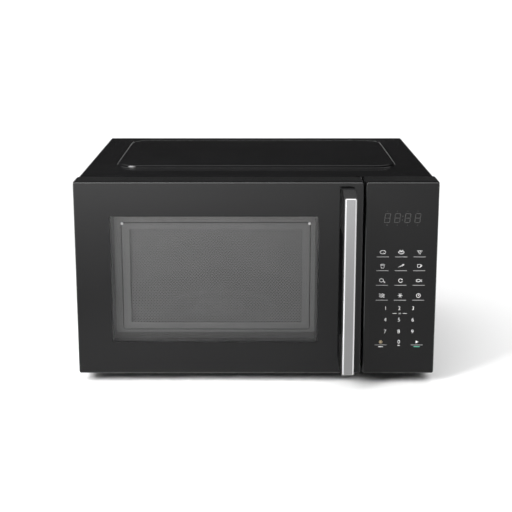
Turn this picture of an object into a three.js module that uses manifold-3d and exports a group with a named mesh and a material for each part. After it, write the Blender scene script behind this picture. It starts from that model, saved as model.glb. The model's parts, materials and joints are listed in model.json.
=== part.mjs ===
// A countertop microwave oven of about 25 litres: a side-hung door with a bar handle on the left,
// a touch control panel on the right, an oven cavity with a glass turntable behind the door,
// and the microwave generator, its power supply and its fan in the bay behind the control panel.
//
// Millimetres, +Z up. The front faces -Y. The origin is the centre of the footprint, on the surface
// that the feet stand on.

import * as THREE from 'three';
import { mergeVertices } from 'three/addons/utils/BufferGeometryUtils.js';
import Module from 'manifold-3d';

const wasm = await Module();
wasm.setup();

// ---- Driving dimensions --------------------------------------------------------------------------

const WIDTH = 483; // over the door and the control panel
const BODY_DEPTH = 383; // front glass to the back of the case
const HANDLE_REACH = 42; // front glass to the front of the handle
const GLAND_REACH = 6; // how far the cord gland stands out behind the case
const FOOT_HEIGHT = 13;
const GAP = 0.3; // between pieces that touch on the real oven

const FRONT_Y = (HANDLE_REACH - BODY_DEPTH - GLAND_REACH) / 2; // the front glass
const HALF = WIDTH / 2;

const FRONT_BOTTOM = FOOT_HEIGHT + 0.5; // the door and the control panel
const FRONT_TOP = 279;
const CASE_TOP = 278.5; // the flat rim round the raised top panel
const PLATEAU_TOP = 282; // the raised top panel
const SHEET = 0.7; // sheet steel

const GLASS = 3.5;
const DOOR_RIGHT = 141.5;
const DOOR_DEPTH = 38; // front glass to the back of the door
const PANEL_LEFT = 144;
const FRONT_PLATE = { from: 40, to: 41.2 }; // depth of the steel plate round the oven mouth
const CASE_FRONT = 41.5; // depth at which the outer case starts

const CAVITY = { left: -219, right: 107, bottom: 36, top: 250, back: 371, corner: 2 };
const TURNTABLE = { x: (CAVITY.left + CAVITY.right) / 2, depth: 206, radius: 135 };
const HINGE = { x: -HALF + 10, depth: DOOR_DEPTH - 10 }; // the door turns on this vertical axis

const WINDOW = { left: -194, right: 81, bottom: 58.5, top: 232.5 }; // clear part of the door glass
const MESH = { left: -170, right: 62, bottom: 80.5, top: 210.5 }; // perforated part of the door plate
const MESH_DEPTH = 20;

const HANDLE = { left: 112.5, right: 129.5, bottom: 21, top: 271.4 };
const HANDLE_X = (HANDLE.left + HANDLE.right) / 2;
const HANDLE_SCREWS = { top: 248, bottom: 46 };
const HOOK_X = 123; // the latch hooks' middle
const HOOKS = { top: 218, bottom: 82 }; // heights of the two hooks
const HOOK_SLOT = 11; // half the height of a slot that a hook passes through

const FAN = { x: 175, z: 152, depth: 320, radius: 46 };
const MAGNETRON = { depth: 175, z: 185 }; // the axis of its tube, which lies along X

const ROUND = 24; // sides of an ordinary round piece

// y of a point this far behind the front glass
const at = (depth) => FRONT_Y + depth;

// ---- Shapes and solids ---------------------------------------------------------------------------

const X = new THREE.Vector3(1, 0, 0);
const Y = new THREE.Vector3(0, 1, 0);
const Z = new THREE.Vector3(0, 0, 1);

// A three.js geometry as a manifold-3d solid, which can be joined and cut.
function solid(geometry) {
  const bare = geometry.index ? geometry.toNonIndexed() : geometry.clone();
  bare.deleteAttribute('normal');
  bare.deleteAttribute('uv');
  const merged = mergeVertices(bare, 1e-4);
  return new wasm.Manifold(
    new wasm.Mesh({
      numProp: 3,
      vertProperties: merged.attributes.position.array,
      triVerts: new Uint32Array(merged.index.array),
    }),
  );
}

function geometryOf(made) {
  const { vertProperties, triVerts } = made.getMesh();
  const geometry = new THREE.BufferGeometry();
  geometry.setAttribute('position', new THREE.BufferAttribute(vertProperties, 3));
  geometry.setIndex(new THREE.BufferAttribute(triVerts, 1));
  geometry.computeVertexNormals();
  return geometry;
}

const join = (...solids) => solids.reduce((all, next) => all.add(next));
const cut = (body, ...tools) => tools.reduce((left, tool) => left.subtract(tool), body);

// A box between three pairs of limits. Depths are given behind the front glass.
function block([x0, x1], [depth0, depth1], [z0, z1]) {
  const box = new THREE.BoxGeometry(x1 - x0, depth1 - depth0, z1 - z0);
  return solid(box.translate((x0 + x1) / 2, at((depth0 + depth1) / 2), (z0 + z1) / 2));
}

// A cylinder, or a cone if endRadius differs, between two points given as [x, depth, z].
function rod(from, to, radius, { endRadius = radius, sides = ROUND } = {}) {
  const a = new THREE.Vector3(from[0], at(from[1]), from[2]);
  const b = new THREE.Vector3(to[0], at(to[1]), to[2]);
  const cylinder = new THREE.CylinderGeometry(endRadius, radius, a.distanceTo(b), sides);
  const turn = new THREE.Quaternion().setFromUnitVectors(Y, b.clone().sub(a).normalize());
  cylinder.applyQuaternion(turn);
  const middle = a.add(b).multiplyScalar(0.5);
  return solid(cylinder.translate(middle.x, middle.y, middle.z));
}

function roundedRect([a0, a1], [b0, b1], r) {
  const shape = new THREE.Shape();
  shape.absarc(a1 - r, b0 + r, r, -Math.PI / 2, 0);
  shape.absarc(a1 - r, b1 - r, r, 0, Math.PI / 2);
  shape.absarc(a0 + r, b1 - r, r, Math.PI / 2, Math.PI);
  shape.absarc(a0 + r, b0 + r, r, Math.PI, Math.PI * 1.5);
  return shape;
}

// Extrudes a shape of (x, depth) points from one height to another.
function upward(shape, z0, z1, options = {}) {
  const extruded = new THREE.ExtrudeGeometry(shape, {
    depth: z1 - z0, bevelEnabled: false, curveSegments: 4, ...options,
  });
  return solid(extruded.translate(0, FRONT_Y, z0));
}

// Extrudes a shape of (x, z) points from one depth to another.
function backward(shape, depth0, depth1, options = {}) {
  const extruded = new THREE.ExtrudeGeometry(shape, {
    depth: depth1 - depth0, bevelEnabled: false, curveSegments: 4, ...options,
  });
  extruded.applyMatrix4(new THREE.Matrix4().makeBasis(X, Z, Y.clone().negate()));
  return solid(extruded.translate(0, at(depth1), 0));
}

// Extrudes a shape of (depth, z) points from one x to another.
function sideways(shape, x0, x1, options = {}) {
  const extruded = new THREE.ExtrudeGeometry(shape, {
    depth: x1 - x0, bevelEnabled: false, curveSegments: 6, ...options,
  });
  extruded.applyMatrix4(new THREE.Matrix4().makeBasis(Y, Z, X));
  return solid(extruded.translate(x0, FRONT_Y, 0));
}

// Turns a profile of [radius, height] points about the Z axis. A profile that doesn't start on the
// axis closes on itself.
function turned(profile, sides = ROUND) {
  const closed = profile[0][0] > 0 ? [...profile, profile[0]] : profile;
  const points = closed.map(([r, z]) => new THREE.Vector2(r, z));
  return solid(new THREE.LatheGeometry(points, sides).rotateX(Math.PI / 2));
}

function polygon(points) {
  const shape = new THREE.Shape();
  points.forEach(([a, b], i) => (i ? shape.lineTo(a, b) : shape.moveTo(a, b)));
  return shape;
}

// A rectangular frame in the plane of the front: an outer and an inner rectangle, as [[x0, x1], [z0, z1]].
function frame(outer, inner, depth0, depth1, r = 3) {
  return cut(
    backward(roundedRect(...outer, r), depth0, depth1),
    block(inner[0], [depth0 - 1, depth1 + 1], inner[1]),
  );
}

const grow = ([a, b], by) => [a - by, b + by];

// ---- Materials and meshes ------------------------------------------------------------------------

const finish = (color, roughness, metalness = 0, extra = {}) =>
  ({ color, roughness, metalness, ...extra });
const FINISHES = {
  blackGlass: finish(0x0c0c0d, 0.08, 0, { transparent: true, opacity: 0.8 }),
  clear: finish(0xb8c0c0, 0.08, 0, { transparent: true, opacity: 0.35 }),
  blackPaint: finish(0x131314, 0.35, 0.2),
  blackPlastic: finish(0x1a1a1b, 0.5),
  silver: finish(0xbfc0c2, 0.3, 0.9),
  cavityPaint: finish(0x9c9d9b, 0.45, 0.3),
  zinc: finish(0xa6a8a8, 0.4, 0.85),
  core: finish(0x55504b, 0.55, 0.6),
  copper: finish(0xa4582f, 0.4, 0.8),
  whitePlastic: finish(0xd8d6cf, 0.5),
  mica: finish(0xa59d86, 0.6),
  board: finish(0x2d5b34, 0.55),
  rubber: finish(0x151515, 0.85),
};

function mesh(name, made, look) {
  const piece = new THREE.Mesh(
    geometryOf(made), new THREE.MeshStandardMaterial(FINISHES[look]));
  piece.name = name;
  return piece;
}

function group(...children) {
  const all = new THREE.Group();
  all.add(...children);
  return all;
}

// ---- Case, base and feet -------------------------------------------------------------------------

// Horizontal cooling slots in a side wall or, with across true, in the back.
function vents(first, count, pitch, length, thickness, across = false) {
  const slot = 3;
  return join(...Array.from({ length: count }, (_, i) => {
    const z = first.z + i * pitch;
    const height = [z, z + slot];
    return across
      ? block([first.x, first.x + length], grow([first.depth, first.depth], thickness), height)
      : block(grow([first.x, first.x], thickness), [first.depth, first.depth + length], height);
  }));
}

// The bent sheet's cross-section: a top and two sides, this thick.
function caseSection(thickness) {
  const bend = 5;
  const side = HALF - 0.5;
  const inner = Math.max(bend - thickness, 0.01);
  const bottom = FRONT_BOTTOM;
  const shape = new THREE.Shape();
  shape.moveTo(side, bottom);
  shape.absarc(side - bend, CASE_TOP - bend, bend, 0, Math.PI / 2);
  shape.absarc(bend - side, CASE_TOP - bend, bend, Math.PI / 2, Math.PI);
  shape.lineTo(-side, bottom);
  shape.lineTo(thickness - side, bottom);
  shape.absarc(thickness + inner - side, CASE_TOP - thickness - inner, inner, Math.PI, Math.PI / 2, true);
  shape.absarc(side - thickness - inner, CASE_TOP - thickness - inner, inner, Math.PI / 2, 0, true);
  shape.lineTo(side - thickness, bottom);
  return shape;
}

// The raised panel pressed into the top, as a solid with sloping sides whose top is at z.
function plateau(inset, z) {
  const rise = PLATEAU_TOP - CASE_TOP;
  const outline = roundedRect([-197 + inset, 197 - inset], [107 + inset, 342 - inset], 30 - inset);
  const shaped = upward(outline, 0, 12, {
    bevelEnabled: true, bevelThickness: rise, bevelSize: 3, bevelSegments: 1, curveSegments: 6,
  });
  const below = block([-230, 230], [60, 380], [z - 40, z - rise - SHEET / 2]);
  return cut(shaped.translate([0, 0, z - 12 - rise]), below);
}

function outerCase() {
  const lip = 6;
  const shell = join(
    backward(caseSection(SHEET), CASE_FRONT, BODY_DEPTH),
    backward(caseSection(lip), CASE_FRONT, CASE_FRONT + SHEET),
    backward(caseSection(lip * 2), BODY_DEPTH - SHEET, BODY_DEPTH),
    plateau(0, PLATEAU_TOP),
  );
  const side = HALF - 1;
  return mesh('outer_case', cut(
    shell,
    plateau(SHEET, PLATEAU_TOP - SHEET),
    vents({ x: side, depth: 250, z: 60 }, 9, 9, 34, 3),
    vents({ x: side, depth: 300, z: 60 }, 9, 9, 34, 3),
    vents({ x: -side, depth: 285, z: 190 }, 6, 9, 34, 3),
    vents({ x: -side, depth: 330, z: 190 }, 6, 9, 34, 3),
    ...CASE_SCREWS.map(([x, z]) => rod([x, 379, z], [x, 385, z], 2.4, { sides: 12 })),
  ), 'blackPaint');
}

const CASE_SCREWS = [[-232, 200], [232, 200], [0, 270]];

const FEET = {
  foot_front_left: [-200, 78],
  foot_front_right: [200, 78],
  foot_rear_left: [-200, 350],
  foot_rear_right: [200, 350],
};

function foot(name, [x, depth]) {
  const made = turned([
    [0, 0], [13.5, 0], [14.5, 1], [12, FOOT_HEIGHT - GAP], [3.6, FOOT_HEIGHT - GAP],
    [3.6, 16], [4.6, 16.5], [2.5, 19], [0, 19],
  ]);
  const piece = mesh(name, made, 'rubber');
  piece.position.set(x, at(depth), 0);
  return piece;
}

function basePlate() {
  const x = [-HALF + 2, HALF - 2];
  const depth = [CASE_FRONT + 1.5, 380];
  const sheet = 1; // stiffer than the case
  const z = [FOOT_HEIGHT, FOOT_HEIGHT + sheet];
  const edge = FOOT_HEIGHT + 11;
  const pan = join(
    block(x, depth, z),
    block([x[0], x[0] + sheet], depth, [z[0], edge]),
    block([x[1] - sheet, x[1]], depth, [z[0], edge]),
    block(x, [depth[1] - sheet, depth[1]], [z[0], edge]),
  );
  const slots = Array.from({ length: 8 }, (_, i) =>
    block([126, 166], [80 + i * 8, 83 + i * 8], grow(z, 1)));
  const holes = Object.values(FEET).map(([fx, fd]) => rod([fx, fd, 10], [fx, fd, 18], 4, { sides: 16 }));
  return mesh('base_plate', cut(pan, ...slots, ...holes), 'zinc');
}

const GLAND = { x: 205, z: 48 };

function rearPanel() {
  const wall = backward(
    roundedRect([-HALF + 2.5, HALF - 2.5], [25.5, CASE_TOP - 2], 6), 380.4, 381.4);
  return mesh('rear_panel', cut(
    wall,
    vents({ x: 128, depth: 381, z: 112 }, 9, 9, 42, 3, true),
    vents({ x: 180, depth: 381, z: 112 }, 9, 9, 42, 3, true),
    vents({ x: -210, depth: 381, z: 214 }, 4, 9, 60, 3, true),
    rod([GLAND.x, 375, GLAND.z], [GLAND.x, 385, GLAND.z], 8),
    ...CASE_SCREWS.map(([x, z]) => rod([x, 376, z], [x, 385, z], 2.3, { sides: 12 })),
  ), 'zinc');
}

// The bush that the supply cord would come out of. Its groove holds the edge of the rear panel.
function cordGland() {
  const { x, z } = GLAND;
  return mesh('cord_gland', cut(
    join(
      rod([x, 374, z], [x, 380.1, z], 9.5, { endRadius: 11 }),
      rod([x, 379, z], [x, 383, z], 7.6),
      rod([x, 381.9, z], [x, BODY_DEPTH + GLAND_REACH, z], 11, { endRadius: 8.5 }),
    ),
    rod([x, 370, z], [x, 392, z], 3.6, { sides: 16 }),
  ), 'rubber');
}

// ---- Oven cavity ---------------------------------------------------------------------------------

function cavitySection(by = 0) {
  return roundedRect(
    grow([CAVITY.left, CAVITY.right], by), grow([CAVITY.bottom, CAVITY.top], by), CAVITY.corner + by);
}

const PORT = { depth: [160, 240], z: [150, 215] }; // where microwaves enter, in the right wall
const LAMP = { depth: 114, z: 222 };

function hookSlots(depth0, depth1) {
  return Object.values(HOOKS).map((z) =>
    block([HOOK_X - 3.5, HOOK_X + 3.5], [depth0, depth1], [z - HOOK_SLOT, z + HOOK_SLOT]));
}

function cavityLiner() {
  const wall = cut(
    backward(cavitySection(SHEET), CASE_FRONT, CAVITY.back + SHEET),
    backward(cavitySection(), CASE_FRONT - 1, CAVITY.back),
  );
  const slots = (x, depth, z, count) => Array.from({ length: count }, (_, i) =>
    block(grow([x, x], 3), [depth + i * 6, depth + i * 6 + 3], [z, z + 16]));
  return mesh('cavity_liner', cut(
    wall,
    block(grow([CAVITY.right, CAVITY.right], 3), PORT.depth, PORT.z),
    rod([TURNTABLE.x, TURNTABLE.depth, 30], [TURNTABLE.x, TURNTABLE.depth, 40], 8),
    ...slots(CAVITY.right, LAMP.depth - 12, LAMP.z - 8, 4),
    ...slots(CAVITY.left, 280, 200, 8),
  ), 'cavityPaint');
}

function cavityFrontPlate() {
  const plate = block([-HALF + 2, 142], [FRONT_PLATE.from, FRONT_PLATE.to], [15, CASE_TOP - 1.5]);
  return mesh('cavity_front_plate', cut(
    plate,
    backward(cavitySection(), FRONT_PLATE.from - 1, FRONT_PLATE.to + 1),
    ...hookSlots(FRONT_PLATE.from - 1, FRONT_PLATE.to + 1),
  ), 'cavityPaint');
}

function waveguideCover() {
  return mesh('waveguide_cover', block(
    [CAVITY.right - 1.1, CAVITY.right - GAP], grow(PORT.depth, 6), grow(PORT.z, 6)), 'mica');
}

function cavityLamp() {
  const x = CAVITY.right + 2;
  const bulb = solid(new THREE.SphereGeometry(9, 16, 10).translate(x + 11, at(LAMP.depth), LAMP.z));
  return mesh('cavity_lamp', join(
    bulb,
    rod([x + 18, LAMP.depth, LAMP.z], [x + 31, LAMP.depth, LAMP.z], 7),
    block([x + 30, x + 33], grow([LAMP.depth, LAMP.depth], 15), grow([LAMP.z, LAMP.z], 11)),
  ), 'whitePlastic');
}

// ---- Turntable -----------------------------------------------------------------------------------
// Built about its own upright axis and placed by a group.

const WHEEL = { radius: 8, width: 8, at: 90 }; // at: distance of a wheel's middle from the axis
const WHEEL_Z = CAVITY.bottom + GAP + WHEEL.radius;
const TRAY_Z = WHEEL_Z + WHEEL.radius + GAP; // underside of the tray
const WHEEL_ANGLES = [90, 210, 330].map(THREE.MathUtils.degToRad);

const aboutZ = (made, angle) => made.rotate([0, 0, THREE.MathUtils.radToDeg(angle)]);
const atAxis = (made) => made.translate([0, -FRONT_Y, 0]); // undoes the front offset of block and rod

function glassTray() {
  const plate = turned([
    [0, TRAY_Z], [118, TRAY_Z], [TURNTABLE.radius, TRAY_Z + 13], [TURNTABLE.radius, TRAY_Z + 15.5],
    [132.5, TRAY_Z + 15.5], [116, TRAY_Z + 4.5], [0, TRAY_Z + 4.5],
  ], 48);
  const lugs = WHEEL_ANGLES.map((angle) => aboutZ(
    atAxis(rod([21, 0, TRAY_Z - 5], [21, 0, TRAY_Z + 1], 4.5, { sides: 12 })), angle));
  return mesh('glass_tray', join(plate, ...lugs), 'clear');
}

// The three-lobed hub that drives the tray by its lugs.
function turntableCoupler() {
  const hub = turned([[3.4, 40], [15, 40], [15, 45], [11, TRAY_Z - 1], [3.4, TRAY_Z - 1]]);
  const lobes = WHEEL_ANGLES.map((angle) => aboutZ(
    atAxis(block([5, 29], [-3, 3], [44, TRAY_Z - 1])), angle + Math.PI / 3));
  const bore = atAxis(rod([0, 0, 30], [0, 0, 60], 3.4, { sides: 12 }));
  return mesh('turntable_coupler', cut(join(hub, ...lobes), bore), 'whitePlastic');
}

function driveShaft() {
  return mesh('drive_shaft', atAxis(rod([0, 0, 31], [0, 0, 50], 3, { sides: 12 })), 'zinc');
}

function turntableMotor() {
  const can = join(
    atAxis(rod([0, 0, 17], [0, 0, 33.5], 24, { sides: 32 })),
    atAxis(block([-32, 32], [-7, 7], [32, 33.5])),
  );
  const bore = atAxis(rod([0, 0, 30], [0, 0, 40], 3.6, { sides: 12 }));
  return mesh('turntable_motor', cut(can, bore), 'zinc');
}

function rollerRing() {
  const ring = (inner, outer) => turned([
    [inner, WHEEL_Z - 2.5], [outer, WHEEL_Z - 2.5], [outer, WHEEL_Z + 2.5], [inner, WHEEL_Z + 2.5],
  ], 48);
  const arms = WHEEL_ANGLES.map((angle) => aboutZ(atAxis(join(
    block([38, 81], [-3, 3], [WHEEL_Z - 2, WHEEL_Z + 2]),
    rod([82, 0, WHEEL_Z], [97, 0, WHEEL_Z], 2, { sides: 12 }),
    rod([95, 0, WHEEL_Z], [97.5, 0, WHEEL_Z], 3.2, { sides: 12 }),
  )), angle));
  return mesh('roller_ring', join(ring(34, 39), ring(79, 84), ...arms), 'whitePlastic');
}

function rollerWheel(name, angle) {
  const near = WHEEL.at - WHEEL.width / 2;
  const far = WHEEL.at + WHEEL.width / 2;
  const wheel = cut(
    rod([near, 0, WHEEL_Z], [far, 0, WHEEL_Z], WHEEL.radius),
    rod([near - 1, 0, WHEEL_Z], [far + 1, 0, WHEEL_Z], 2.4, { sides: 12 }),
  );
  return mesh(name, aboutZ(atAxis(wheel), angle), 'whitePlastic');
}

function turntable() {
  const all = group(
    glassTray(), turntableCoupler(), driveShaft(), turntableMotor(), rollerRing(),
    ...WHEEL_ANGLES.map((angle, i) => rollerWheel(`roller_wheel_${i + 1}`, angle)),
  );
  all.position.set(TURNTABLE.x, at(TURNTABLE.depth), 0);
  return all;
}

// ---- Door ----------------------------------------------------------------------------------------

const HINGE_MID = (FRONT_BOTTOM + FRONT_TOP) / 2; // the two hinges mirror each other about this height
const mirrored = (made) => made.mirror([0, 0, 1]).translate([0, 0, 2 * HINGE_MID]);

function doorGlass() {
  const pane = backward(
    roundedRect([-HALF + 1, DOOR_RIGHT - 0.5], [FRONT_BOTTOM + 1, FRONT_TOP - 0.7], 3), 0, GLASS);
  return mesh('door_glass', cut(pane, ...handleScrewHoles()), 'blackGlass');
}

function handleScrewHoles() {
  return Object.values(HANDLE_SCREWS).map((z) =>
    rod([HANDLE_X, -20, z], [HANDLE_X, 12, z], 2.4, { sides: 12 }));
}

// The door's outline seen from above, its walls moved in by inset. The corner on the hinge side is
// round about the hinge, so that it turns in its own place.
function doorPlan(inset, front, back) {
  const hingeCorner = 10 - inset;
  const latchCorner = 12 - inset;
  const left = -HALF + inset;
  const right = DOOR_RIGHT - inset;
  const shape = new THREE.Shape();
  shape.moveTo(left + (inset ? 0 : 1.5), front);
  if (!inset) shape.lineTo(left, front + 4);
  shape.lineTo(left, HINGE.depth);
  shape.absarc(HINGE.x, HINGE.depth, hingeCorner, Math.PI, Math.PI / 2, true);
  if (inset) shape.lineTo(HINGE.x, back);
  const latchX = DOOR_RIGHT - 12;
  const latchDepth = DOOR_DEPTH - 12;
  if (inset) shape.lineTo(latchX, back);
  shape.absarc(latchX, latchDepth, latchCorner, Math.PI / 2, 0, true);
  if (!inset) shape.lineTo(right, front + 4);
  shape.lineTo(right - (inset ? 0 : 1.5), front);
  return shape;
}

function doorFrame() {
  const front = GLASS + GAP;
  const wall = 3;
  const shell = upward(doorPlan(0, front, DOOR_DEPTH), FRONT_BOTTOM, FRONT_TOP, { curveSegments: 6 });
  const trimmed = shell.intersect(backward(
    roundedRect([-HALF, DOOR_RIGHT], [FRONT_BOTTOM, FRONT_TOP], 3), front - 1, DOOR_DEPTH + 1));
  const pocket = upward(
    doorPlan(wall, front + wall, DOOR_DEPTH + 2), FRONT_BOTTOM + wall, FRONT_TOP - wall,
    { curveSegments: 6 });
  const opening = block([WINDOW.left, WINDOW.right], [front - 1, 30], [WINDOW.bottom, WINDOW.top]);
  const sleeve = block(
    grow([WINDOW.left, WINDOW.right], 2.5), [front + 1, MESH_DEPTH - 0.5],
    grow([WINDOW.bottom, WINDOW.top], 2.5));
  const boss = block([-HALF + 2, HINGE.x + 8], [HINGE.depth - 7.5, HINGE.depth + 7.5], [22.3, 27.4]);
  const notch = block([-HALF - 2, HINGE.x + 9], [HINGE.depth - 8, DOOR_DEPTH + 2], [16.5, 22.3]);
  const bore = rod([HINGE.x, HINGE.depth, 20], [HINGE.x, HINGE.depth, 28], 2.65, { sides: 16 });
  const whole = join(cut(trimmed, pocket), sleeve, boss, mirrored(boss));
  return mesh('door_frame', cut(
    whole, opening, notch, mirrored(notch), bore, mirrored(bore), ...handleScrewHoles()), 'blackPlastic');
}

// The steel pan that closes the oven: a perforated middle pressed towards the glass, and round it a
// folded channel that stops leaks.
function doorPlate() {
  const outer = [[-227, 117], [28, 262]];
  const pan = [[-192.5, 84], [54, 237]];
  const channel = [grow(outer[0], -SHEET), grow(outer[1], -SHEET)];
  const lip = [grow(outer[0], -9), grow(outer[1], -9)];
  const inPan = [grow(pan[0], -SHEET), grow(pan[1], -SHEET)];
  return mesh('door_plate', join(
    frame(outer, inPan, 33, 34, 2),
    frame(outer, channel, 24, 34, 2),
    frame(outer, lip, 24, 25, 2),
    frame(pan, inPan, MESH_DEPTH, 34, 2),
    frame(pan, [[MESH.left, MESH.right], [MESH.bottom, MESH.top]], MESH_DEPTH, MESH_DEPTH + SHEET, 2),
  ), 'core');
}

function meshScreen() {
  return mesh('mesh_screen', block(
    grow([MESH.left, MESH.right], 2), [MESH_DEPTH + SHEET + GAP, MESH_DEPTH + SHEET + GAP + 0.5],
    grow([MESH.bottom, MESH.top], 2)), 'core');
}

function innerWindow() {
  return mesh('inner_window', backward(roundedRect([-196, 88], [51, 240], 3), 34.4, 35.4), 'clear');
}

function chokeCover() {
  const ring = frame([[-231, 129], [16.9, 275.6]], [[-190, 82], [57, 234]], 35.7, DOOR_DEPTH, 3);
  const notch = block([-240, HINGE.x + 10], [30, 42], [10, 23]);
  return mesh('choke_cover', cut(ring, notch, mirrored(notch), ...hookSlots(34, 40)), 'blackPlastic');
}

// One lever with two hooks. It lifts against its spring as the hooks ride over their catches.
function latchHook() {
  const x = [HOOK_X - 2, HOOK_X + 2];
  const hooks = Object.values(HOOKS).map((z) => sideways(polygon([
    [32, z - 4], [54, z - 4], [54.5, z - 8], [57, z - 8], [60, z - 2], [60, z + 4], [32, z + 4],
  ]), ...x));
  return mesh('latch_hook', join(block(x, [24, 33], [62, 238]), ...hooks), 'whitePlastic');
}

// A helix of round wire, pressing down on the latch.
function latchSpring() {
  const turns = 4;
  const [z0, z1] = [239, 255];
  const radius = 3.2;
  const wire = 0.5;
  class Helix extends THREE.Curve {
    getPoint(t, target = new THREE.Vector3()) {
      const a = t * turns * 2 * Math.PI;
      return target.set(
        HOOK_X + radius * Math.cos(a), at(28.5) + radius * Math.sin(a), z0 + t * (z1 - z0));
    }
  }
  const section = new THREE.Shape();
  section.absarc(0, 0, wire, 0, Math.PI * 2);
  const made = new THREE.ExtrudeGeometry(section, {
    extrudePath: new Helix(), steps: turns * 12, curveSegments: 3, bevelEnabled: false,
  });
  return mesh('latch_spring', solid(made), 'zinc');
}

// The two ends that stand off the door, and the bar between them, in one moulding.
function handleBody() {
  const front = 4.5 - HANDLE_REACH;
  const barBack = -26;
  const shape = new THREE.Shape();
  shape.moveTo(-GAP, HANDLE.top);
  shape.lineTo(-7, HANDLE.top - 0.4);
  shape.lineTo(front, HANDLE.top - 5.8);
  shape.lineTo(front, HANDLE.bottom + 5.6);
  shape.lineTo(-7, HANDLE.bottom + 0.5);
  shape.lineTo(-GAP, HANDLE.bottom);
  shape.lineTo(-GAP, 70.5);
  shape.lineTo(-13, 71.5);
  shape.quadraticCurveTo(barBack, 72.5, barBack, 84);
  shape.lineTo(barBack, 202);
  shape.quadraticCurveTo(barBack, 213, -13, 214);
  shape.lineTo(-GAP, 215);
  const bores = Object.values(HANDLE_SCREWS).map((z) =>
    rod([HANDLE_X, -20, z], [HANDLE_X, 2, z], 2.3, { sides: 12 }));
  return mesh('handle_body', cut(sideways(shape, HANDLE.left, HANDLE.right), ...bores), 'blackPlastic');
}

function handleTrim() {
  const x = [HANDLE.left + 1, HANDLE.right - 1];
  const back = 4.5 - HANDLE_REACH - GAP;
  const outline = polygon([
    [x[0], back], [x[0], 1.2 - HANDLE_REACH], [x[0] + 1.2, -HANDLE_REACH],
    [x[1] - 1.2, -HANDLE_REACH], [x[1], 1.2 - HANDLE_REACH], [x[1], back],
  ]);
  return mesh('handle_trim', upward(outline, HANDLE.bottom + 6, HANDLE.top - 6.2), 'silver');
}

function handleScrew(name, z) {
  return mesh(name, join(
    rod([HANDLE_X, -18, z], [HANDLE_X, 8, z], 1.95, { sides: 12 }),
    rod([HANDLE_X, 7.1, z], [HANDLE_X, 10, z], 4.2, { endRadius: 3.4, sides: 16 }),
  ), 'zinc');
}

// An arm from the front plate with an upright pin that the door turns on.
function hingeSolid() {
  const { x, depth } = HINGE;
  const plate = block([x + 1, x + 20], [DOOR_DEPTH + 0.6, FRONT_PLATE.from - GAP], [16.8, 38]);
  const arm = join(
    block([x - 5, x + 5], [depth, DOOR_DEPTH + 1.5], [18.5, 20.5]),
    rod([x, depth, 18.5], [x, depth, 20.5], 5),
  );
  const shoulder = rod([x, depth, 20], [x, depth, 21.9], 4.4, { sides: 16 });
  const pin = rod([x, depth, 20], [x, depth, 27.5], 2.5, { sides: 16 });
  return join(plate, arm, shoulder, pin);
}

function door() {
  return group(
    doorGlass(), doorFrame(), doorPlate(), meshScreen(), innerWindow(), chokeCover(),
    latchHook(), latchSpring(), handleBody(), handleTrim(),
    handleScrew('handle_screw_top', HANDLE_SCREWS.top),
    handleScrew('handle_screw_bottom', HANDLE_SCREWS.bottom),
  );
}

function hinges() {
  return group(
    mesh('hinge_bottom', hingeSolid(), 'zinc'),
    mesh('hinge_top', mirrored(hingeSolid()), 'zinc'),
  );
}

// ---- Door interlock ------------------------------------------------------------------------------

const SWITCHES = { secondary: HOOKS.top, primary: HOOKS.bottom, monitor: HOOKS.bottom + 34 };

function interlockBracket() {
  const catches = Object.values(HOOKS).map((z) =>
    block([HOOK_X - 4, HOOK_X + 7], [43, 52], [z - 13, z - 8.6]));
  return mesh('interlock_bracket', join(
    cut(block([HOOK_X - 9, HOOK_X + 9], [42, 44], [55, 245]), ...hookSlots(41, 45)),
    block([HOOK_X + 6, HOOK_X + 8.5], [43, 84], [55, 245]),
    ...catches,
  ), 'whitePlastic');
}

function microswitch(name, z) {
  const body = block([HOOK_X - 5, HOOK_X + 5], [66.5, 82.5], [z - 14, z + 14]);
  const well = block(grow([HOOK_X, HOOK_X], 1.9), [66, 73], grow([z, z], 1.9));
  const tabs = [-9, 0, 9].map((dz) =>
    block(grow([HOOK_X, HOOK_X], 0.4), [82, 89], [z + dz - 2.4, z + dz + 2.4]));
  return mesh(name, join(cut(body, well), ...tabs), 'blackPlastic');
}

function plunger(name, z) {
  return mesh(name, block(grow([HOOK_X, HOOK_X], 1.5), [63.6, 71], grow([z, z], 1.5)), 'whitePlastic');
}

// ---- Control panel -------------------------------------------------------------------------------

const DISPLAY = { x: [165.5, 225.5], z: [214, 242] };

function panelGlass() {
  return mesh('panel_glass', backward(
    roundedRect([PANEL_LEFT + 0.5, HALF - 1], [FRONT_BOTTOM + 1, FRONT_TOP - 0.7], 3), 0, GLASS),
  'blackGlass');
}

function panelHousing() {
  const front = GLASS + GAP;
  const wall = 2.5;
  const plan = polygon([
    [PANEL_LEFT + 0.5, front], [PANEL_LEFT, front + 2], [PANEL_LEFT, FRONT_PLATE.to],
    [HALF, FRONT_PLATE.to], [HALF, front + 4], [HALF - 1.5, front],
  ]);
  const shell = upward(plan, FRONT_BOTTOM, FRONT_TOP).intersect(backward(
    roundedRect([PANEL_LEFT, HALF], [FRONT_BOTTOM, FRONT_TOP], 3), front - 1, FRONT_PLATE.to + 1));
  const pocket = block(
    grow([PANEL_LEFT, HALF], -wall), [front + wall, FRONT_PLATE.to + 1],
    grow([FRONT_BOTTOM, FRONT_TOP], -wall));
  const displayHole = block(DISPLAY.x, [front - 1, front + wall + 1], DISPLAY.z);
  const posts = [[158, 40], [228, 40], [158, 190], [228, 190]].map(([x, z]) =>
    rod([x, front + 1, z], [x, 21.6, z], 3, { sides: 12 }));
  return mesh('panel_housing', join(cut(shell, pocket, displayHole), ...posts), 'blackPlastic');
}

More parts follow.
